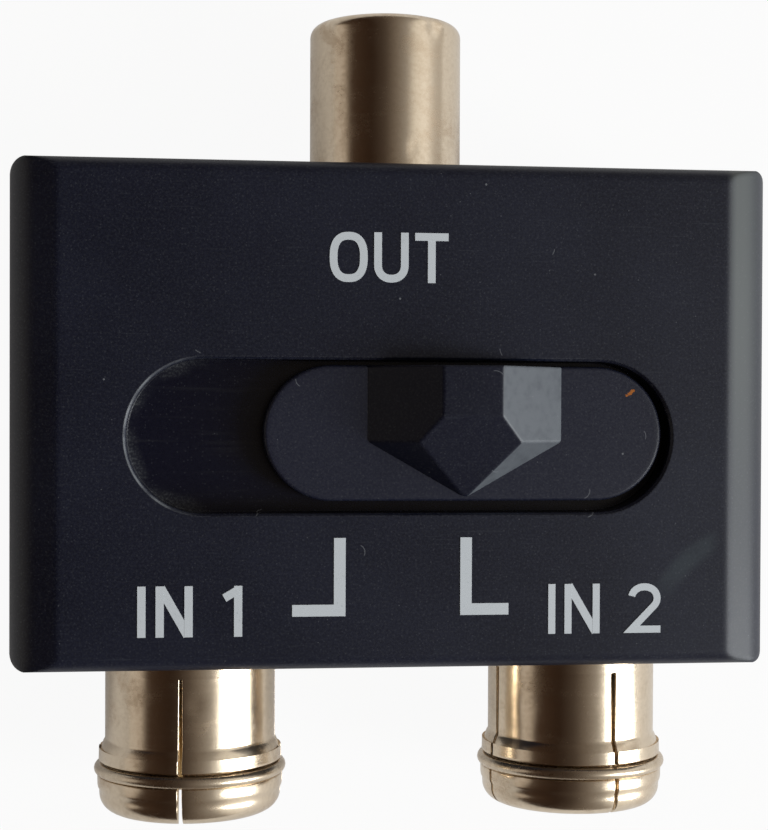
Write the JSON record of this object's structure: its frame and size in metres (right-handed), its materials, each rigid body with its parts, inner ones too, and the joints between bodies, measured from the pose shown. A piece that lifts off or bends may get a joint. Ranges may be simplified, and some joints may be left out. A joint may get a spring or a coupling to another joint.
{
  "type": "rf switch box",
  "caption": "Small flat box that joins one coaxial plug to either of two coaxial sockets, with a slide switch and raised pointer in its face.",
  "frame": {"origin": "on the flat back of the case, under the middle of the whole part's box", "axes": "+X along the line from the left socket to the right socket, +Y towards the plug, +Z out of the front face"},
  "size_m": [0.0458, 0.0492, 0.0186],
  "materials": {
    "case_plastic": "satin black moulded plastic with a fine grain",
    "slider_plastic": "satin black moulded plastic",
    "plated_brass": "worn nickel plate over turned brass",
    "contact_brass": "turned brass, lightly plated",
    "spring_steel": "plated spring wire",
    "plated_steel": "zinc plated",
    "insulator": "turned natural plastic",
    "tinplate": "bright tinplate",
    "board": "paper laminate board",
    "base_laminate": "dark phenolic",
    "silvered_brass": "silvered",
    "carriage_plastic": "natural moulded plastic",
    "spring_bronze": "spring bronze",
    "tinned_wire": "tinned copper wire",
    "resistor_body": "lacquered"
  },
  "bodies": {
    "box": {"front_case": "case_plastic", "rear_cover": "case_plastic", "cover_screws": "plated_steel", "plug_shell": "plated_brass", "plug_insulator": "insulator", "plug_pin": "plated_brass", "left_socket_shell": "plated_brass", "left_spring_ring": "spring_steel", "left_socket_insulator": "insulator", "left_socket_contact": "contact_brass", "right_socket_shell": "plated_brass", "right_spring_ring": "spring_steel", "right_socket_insulator": "insulator", "right_socket_contact": "contact_brass", "chassis": "tinplate", "circuit_board": "board", "switch_frame": "tinplate", "switch_base": "base_laminate", "fixed_contacts": "silvered_brass", "centre_links": "tinned_wire", "load_resistor": "resistor_body"},
    "slider": {"slider_knob": "slider_plastic", "slide_carriage": "carriage_plastic", "bridge_contacts": "spring_bronze"}
  },
  "joints": [
    {"name": "slider_travel", "type": "slide", "parent": "box", "child": "slider", "axis": [1, 0, 0], "range_m": [-0.0075, 0]}
  ]
}
